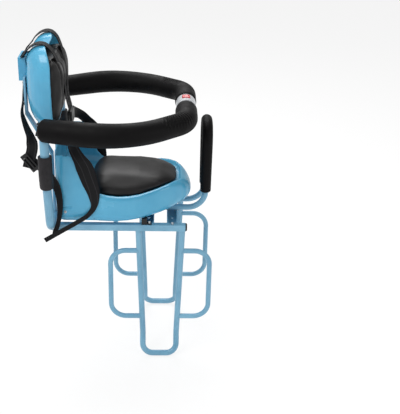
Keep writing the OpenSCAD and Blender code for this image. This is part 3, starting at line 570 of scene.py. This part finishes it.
# Guard ring: foam on both arms, the handle's grip and the rubber sleeves
armFoamLook = {
    "voxelMm": 2.4, "smoothing": 3, "fill": 0.9, "axisX": 56.1, "axisZ": 266.9, "radiusMm": 27,
    "endMm": 24, "endRoundMm": 11, "endShrink": 0.26,
    "corner": (-3.9, 80.6), "bendMm": 62, "rippleMm": 6.2, "rippleAngles": (-86, -26), "rippleFromX": -20,
    "rippleZ": 284, "rippleHighMm": 9, "rippleRadiusMm": (48, 60),
    "swellMm": 5.5, "swellX": -150, "swellLengthMm": 85}
for side, sign in sides:
    pad = newPiece("armFoam_" + side, mergedCopy("arm_pad_" + side), evaFoam, side + "_arm",
                   ["arm_pad_" + side])
    remeshed(pad, armFoamLook["voxelMm"], armFoamLook["smoothing"])
    wave = pad.data.attributes.new("bendWave", "FLOAT", "POINT")
    share = pad.data.attributes.new("bendShare", "FLOAT", "POINT")
    low, high = (math.radians(a) for a in armFoamLook["rippleAngles"])
    inner, outer = armFoamLook["rippleRadiusMm"]
    axisX, axisZ = armFoamLook["axisX"], armFoamLook["axisZ"]
    for v in pad.data.vertices:
        p = v.co * 1000
        # the end beside the latch is rounded over
        fromEnd = (abs(p.y) - armFoamLook["endMm"]) / armFoamLook["endRoundMm"]
        if p.x > 0 and fromEnd < 1:
            keep = 1 - armFoamLook["endShrink"] * (1 - max(0, fromEnd)) ** 2
            v.co.x = (axisX + (p.x - axisX) * keep) / 1000
            v.co.z = (axisZ + (p.z - axisZ) * keep) / 1000
        # wrinkles fan out round the corner of the bend
        dx, dy = p.x - armFoamLook["corner"][0], abs(p.y) - armFoamLook["corner"][1]
        angle = -math.atan2(dy, dx)
        wave.data[v.index].value = angle * armFoamLook["bendMm"] / armFoamLook["rippleMm"] * 2 * math.pi
        inside = ramp((angle - low) / 0.2) * ramp((high - angle) / 0.2)
        height = dent(p.z - armFoamLook["rippleZ"], armFoamLook["rippleHighMm"])
        far = ramp((math.hypot(dx, dy) - inner) / (outer - inner))
        share.data[v.index].value = inside * height * far if p.x > armFoamLook["rippleFromX"] else 0
        # the upper side swells behind the middle
        if p.z > axisZ:
            swell = armFoamLook["swellMm"] * dent(p.x - armFoamLook["swellX"], armFoamLook["swellLengthMm"])
            v.co.z += swell * (p.z - axisZ) / armFoamLook["radiusMm"] / 1000

gripLook = {"voxelMm": 2.0, "smoothing": 4, "fill": 0.9}
grip = newPiece("gripFoam", mergedCopy("handle_grip"), evaFoam, "frame", ["handle_grip"])
remeshed(grip, gripLook["voxelMm"], gripLook["smoothing"])
sleeveLook = {"voxelMm": 1.3, "smoothing": 3}
for side, sign in sides:
    sleeve = newPiece("jointSleeve_" + side, mergedCopy("sleeve_" + side), sleeveRubber, "frame",
                      ["sleeve_" + side])
    remeshed(sleeve, sleeveLook["voxelMm"], sleeveLook["smoothing"])
print("foam and rubber done")

# Latch: collar, button and blade
edgedCopy("latchCollar", "latch_housing", latchGrey, "left_arm", 1.6, 4)
edgedCopy("latchBlade", "latch_tongue", bladeSteel, "right_arm", 0.5)
buttonLook = {"voxelMm": 0.7, "smoothing": 5, "domeMm": 1.8}
button = newPiece("latchButton", mergedCopy("latch_button"), buttonRed, "button",
                  ["latch_button"])
remeshed(button, buttonLook["voxelMm"], buttonLook["smoothing"])
buttonLow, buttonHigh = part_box("latch_button")
for v in button.data.vertices:
    # the thumb pad is domed
    x, y, z = ((2 * at - low - high) / (high - low) for at, low, high in zip(v.co, buttonLow, buttonHigh))
    if z > 0:
        v.co.z += buttonLook["domeMm"] / 1000 * z * max(0, 1 - x ** 2) * max(0, 1 - y ** 2)


# Harness: flat webbing swept through the model's own stations
def easedRoute(stations, stepMm):
    # point, width direction and width, eased through every station
    values = [Vector([*p, *d, w]) for p, d, w in stations]
    gaps = [(Vector(b[:3]) - Vector(a[:3])).length for a, b in zip(values, values[1:])]
    slopes = []
    for i in range(len(values)):
        if i == 0:
            slopes.append((values[1] - values[0]) / gaps[0])
        elif i == len(values) - 1:
            slopes.append((values[-1] - values[-2]) / gaps[-1])
        else:
            before = (values[i] - values[i - 1]) / gaps[i - 1]
            after = (values[i + 1] - values[i]) / gaps[i]
            slopes.append((before * gaps[i] + after * gaps[i - 1]) / (gaps[i] + gaps[i - 1]))
    route = []
    for i, gap in enumerate(gaps):
        count = max(2, round(gap / stepMm))
        for k in range(count + (i == len(gaps) - 1)):
            t = k / count
            ease = 3 * t ** 2 - 2 * t ** 3
            leave = slopes[i] * gap * (t ** 3 - 2 * t ** 2 + t)
            arrive = slopes[i + 1] * gap * (t ** 3 - t ** 2)
            route.append(values[i] * (1 - ease) + values[i + 1] * ease + leave + arrive)
    return route


def sweepStrap(name, stations, replaced, strap, sign=-1):
    # a flat section with eased edges, carried along the route and closed at both ends
    route = easedRoute(stations, strap["stepMm"])
    work = bmesh.new()
    along = work.verts.layers.float.new("along")
    across = work.verts.layers.float.new("across")
    ring = bmesh.ops.create_circle(work, segments=8, radius=1.0,
                                   matrix=Matrix.Rotation(math.pi / 8, 4, "Z"))["verts"]
    for v in ring:
        atEdge = abs(v.co.x) > abs(v.co.y)
        v.co.x = math.copysign(1.0 if atEdge else strap["faceShare"], v.co.x)
        v.co.y = math.copysign(strap["edgeShare"] if atEdge else 1.0, v.co.y)
    edges = list(work.edges)
    first, last, place, distance = list(edges), edges, Matrix(), 0
    for i, here in enumerate(route):
        point = Vector(here[:3])
        ahead = Vector(route[min(i + 1, len(route) - 1)][:3]) - Vector(route[max(i - 1, 0)][:3])
        ahead.normalize()
        wide = Vector(here[3:6])
        wide = (wide - ahead * wide.dot(ahead)).normalized()
        thick = ahead.cross(wide)
        if i:
            distance += (point - Vector(route[i - 1][:3])).length
            made = bmesh.ops.extrude_edge_only(work, edges=last)["geom"]
            ring = [g for g in made if isinstance(g, bmesh.types.BMVert)]
            last = [g for g in made if isinstance(g, bmesh.types.BMEdge)
                    and all(v in ring for v in g.verts)]
        half = here[6] / 2
        here4 = Matrix((wide * half, thick * strap["thickMm"] / 2, ahead)).transposed().to_4x4()
        here4.translation = point
        bmesh.ops.transform(work, matrix=here4 @ place.inverted(), verts=ring)
        place = here4
        back = here4.inverted()
        for v in ring:
            v[along] = distance / 1000
            v[across] = (back @ v.co).x * half / 1000
    bmesh.ops.edgeloop_fill(work, edges=first)
    bmesh.ops.edgeloop_fill(work, edges=last)
    scale = Matrix.Diagonal((0.001, 0.001 * (1 if sign < 0 else -1), 0.001, 1))
    bmesh.ops.transform(work, matrix=scale, verts=work.verts)
    bmesh.ops.recalc_face_normals(work, faces=work.faces)
    piece = newPiece(name, work, webbing, "frame", replaced)
    smoothFaces(piece, 35)
    return piece


strapLook = {"thickMm": 1.8, "stepMm": 5.0, "faceShare": 0.95, "edgeShare": 0.45}
alongX, alongY, alongZ = (1, 0, 0), (0, 1, 0), (0, 0, 1)
shoulderRoute = [
    ((-208.2, -14, 258.4), alongY, 25), ((-214.5, -15, 288), alongY, 25), ((-216.5, -22, 318), alongY, 25),
    ((-220.5, -33, 348), alongY, 25), ((-226.5, -45, 378), alongY, 25), ((-233.5, -53, 399), alongY, 25),
    ((-241.5, -57, 413.5), alongY, 25), ((-250, -58, 421.4), alongY, 25), ((-260, -58, 424.2), alongY, 25),
    ((-273, -57, 421.6), alongY, 25), ((-286, -54, 412.5), alongY, 25), ((-296, -45, 400), alongY, 25),
    ((-303.5, -26, 391.5), alongY, 25), ((-308.5, -13, 382.5), alongY, 25), ((-308.5, -13, 325), alongY, 25),
    ((-308.5, -36, 292), alongY, 25), ((-308.5, -60, 266), alongY, 25), ((-299, -80, 243), (0.2, 1, 0), 25),
    ((-288, -93, 220), (0.6, 0.8, 0), 25), ((-285, -98.3, 202), alongX, 25), ((-291, -98.3, 174), alongX, 25),
    ((-297, -98.3, 150), alongX, 25)]
waistRoute = [
    ((-207.8, -28.4, 242), alongZ, 25), ((-208, -60, 231), alongZ, 24), ((-204, -88, 217), (0.3, 0, 1), 24),
    ((-194, -109, 203.5), (0.8, 0, 0.6), 24), ((-183, -120.4, 187), alongX, 27),
    ((-171, -120.4, 165), alongX, 38), ((-160, -119.6, 130), alongX, 36), ((-150, -119.2, 92), alongX, 26),
    ((-152, -120.2, 62), (1, 0, -0.4), 13), ((-164, -123, 46), (0.5, 0, -1), 11),
    ((-190, -130, 30), (0.4, 0, -1), 11),
    ((-222, -135, 12), (0.4, 0, -1), 11), ((-262, -140, -11), (0.4, 0, -1), 11)]
sideRoute = [
    ((-247, -132, -2), (0.6, 0, 1), 11), ((-238, -128, 10), (1, 0, 0.5), 11), ((-231, -125, 32), alongX, 10),
    ((-227, -124, 62), alongX, 13), ((-228, -123, 92), alongX, 15), ((-235, -120, 118), (1, 0, 0.4), 18),
    ((-250, -112, 138), (0.7, 0, 0.7), 20), ((-264, -100, 148), (0.7, 0, 0.7), 20),
    ((-275, -96, 156), (0.7, 0, 0.7), 20), ((-290, -96, 169), (0.7, 0, 0.7), 20)]
crotchRoute = [
    ((-208.2, 0, 225.6), alongY, 25), ((-203, 0, 190), alongY, 25), ((-196, 0, 150), alongY, 25),
    ((-186, 0, 112), alongY, 25), ((-176, 0, 80.6), alongY, 25)]
for side, sign in sides:
    sweepStrap("shoulderWeb_" + side, shoulderRoute, ["shoulder_strap_" + side], strapLook, sign)
    sweepStrap("waistWeb_" + side, waistRoute, ["waist_strap_" + side], strapLook, sign)
    sweepStrap("sideWeb_" + side, sideRoute, ["side_strap_" + side], strapLook, sign)
    edgedCopy("ladderLock_" + side, "adjuster_" + side, blackAbs, "frame", 0.9)
sweepStrap("crotchWeb", crotchRoute, ["crotch_strap"], strapLook)
edgedCopy("buckleBody", "buckle", blackAbs, "frame", 2.2, 4)
print("harness done")

# Floor, light and camera
floorLook = {"height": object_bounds()[0].z - 0.0005, "half": 14.0, "lit": 0.8, "color": "#FFFFFF"}
work = bmesh.new()
bmesh.ops.create_grid(work, x_segments=1, y_segments=1, size=floorLook["half"])
bmesh.ops.transform(work, matrix=Matrix.Translation((0, 0, floorLook["height"])), verts=work.verts)
mesh = bpy.data.meshes.new("floor")
work.to_mesh(mesh)
work.free()
floor = bpy.data.objects.new("floor", mesh)
scene.collection.objects.link(floor)
floor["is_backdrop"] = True

# Matt white studio card; camera, mirror and glass rays see it half lit, so its shadow stays
material = bpy.data.materials.new("whiteCard")
material.use_nodes = True
tree = material.node_tree
card = tree.nodes["Principled BSDF"]
card.inputs["Base Color"].default_value = linearColor(floorLook["color"])
card.inputs["Roughness"].default_value = 0.9
card.inputs["Specular IOR Level"].default_value = 0.0
rays = addNode(tree, "LightPath")
seen = addNode(tree, "Math", {"operation": "MAXIMUM"},
               {0: rays.outputs["Is Camera Ray"], 1: rays.outputs["Is Glossy Ray"]})
glass = addNode(tree, "Math", {"operation": "MAXIMUM"},
                {0: seen.outputs["Value"], 1: rays.outputs["Is Transmission Ray"]})
amount = addNode(tree, "Math", {"operation": "MULTIPLY", 1: floorLook["lit"]}, {0: glass.outputs["Value"]})
glow = addNode(tree, "Emission", {"Color": (1, 1, 1, 1), "Strength": 1.0})
blend = addNode(tree, "MixShader", {}, {0: amount.outputs["Value"], 1: card.outputs["BSDF"],
                                       2: glow.outputs["Emission"]})
tree.links.new(blend.outputs["Shader"], tree.nodes["Material Output"].inputs["Surface"])
floor.data.materials.append(material)

world = bpy.data.worlds.new("studio")
scene.world = world
world.use_nodes = True
tree = world.node_tree
rays = addNode(tree, "LightPath")
level = addNode(tree, "MapRange", {"To Min": 0.5, "To Max": 1.0}, {"Value": rays.outputs["Is Camera Ray"]})
tree.links.new(level.outputs["Result"], tree.nodes["Background"].inputs["Strength"])
tree.nodes["Background"].inputs["Color"].default_value = (1, 1, 1, 1)

lamps = {
    "key": {"at": (-1.3, -1.2, 1.9), "aim": (-0.15, 0, 0.2), "size": 1.3, "watts": 30},
    "top": {"at": (-0.3, 1.2, 1.8), "aim": (-0.1, 0, 0.2), "size": 1.5, "watts": 34},
    "fill": {"at": (1.7, -1.4, 0.8), "aim": (0, 0, 0.1), "size": 1.2, "watts": 10}}
for name, lamp in lamps.items():
    data = bpy.data.lights.new(name, "AREA")
    data.size = lamp["size"]
    data.energy = lamp["watts"]
    light = bpy.data.objects.new(name, data)
    light.location = lamp["at"]
    light.rotation_euler = (Vector(lamp["aim"]) - Vector(lamp["at"])).to_track_quat("-Z", "Y").to_euler()
    scene.collection.objects.link(light)

# The photograph's view, worked out from the rails, footrests and handle
view = {"at": (0.00745, -1.870, 0.8918), "lens": 73.913,
        "right": (0.999041, -0.034029, 0.027543), "up": (-0.010411, 0.426421, 0.904465),
        "back": (-0.042523, -0.903885, 0.425658)}
camera = bpy.data.objects.new("camera", bpy.data.cameras.new("camera"))
camera.data.lens = view["lens"]
camera.data.sensor_width = 36
camera.matrix_world = (Matrix.Translation(view["at"])
                       @ Matrix((view["right"], view["up"], view["back"])).transposed().to_4x4())
scene.collection.objects.link(camera)
scene.camera = camera
scene.view_settings.view_transform = "Standard"

low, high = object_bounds()
